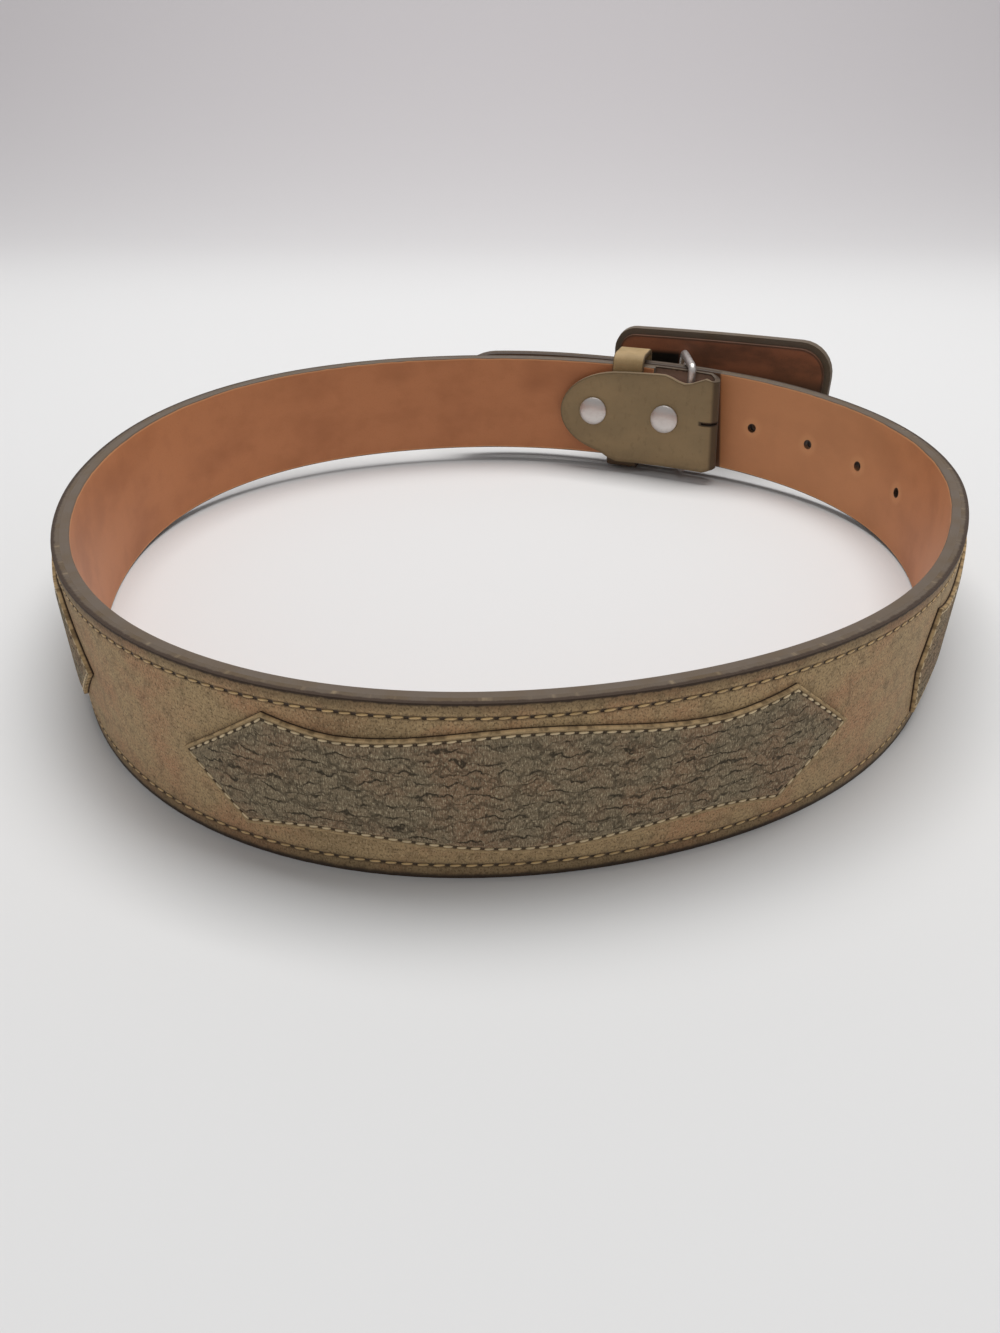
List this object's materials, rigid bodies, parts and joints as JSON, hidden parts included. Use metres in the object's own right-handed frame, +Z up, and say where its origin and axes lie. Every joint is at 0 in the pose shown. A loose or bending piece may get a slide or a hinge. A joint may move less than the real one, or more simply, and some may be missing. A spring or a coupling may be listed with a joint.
{
  "type": "western belt",
  "caption": "Leather belt closed into its ring, with scalloped sewn overlays, a snapped buckle end, a keeper and a leather covered plate buckle on a wire bail.",
  "frame": {"origin": "centre of the belt's box, on the surface that it stands on", "axes": "+Z up, along the waist; -Y towards the front middle of the strap; the buckle is on the far side, towards +X"},
  "size_m": [0.2762, 0.2771, 0.053],
  "materials": {
    "face_leather": "matte nubuck, olive tan",
    "lining_leather": "smooth vegetable tanned, satin",
    "overlay_leather": "shrunken grain, matte",
    "keeper_leather": "matte, pale tan",
    "plate_leather": "matte, olive",
    "backing_leather": "smooth, dark brown",
    "plated_metal": "bright nickel plate"
  },
  "bodies": {
    "root": {"strap_face": "face_leather", "lining": "lining_leather", "overlay_long_1": "overlay_leather", "overlay_long_2": "overlay_leather", "overlay_short_1": "overlay_leather", "overlay_short_2": "overlay_leather", "snap_1": "plated_metal", "snap_2": "plated_metal", "keeper": "keeper_leather", "buckle_plate": "plate_leather", "buckle_backing": "backing_leather", "bail": "plated_metal", "bail_bracket": "plated_metal", "buckle_hook": "plated_metal"}
  },
  "joints": []
}
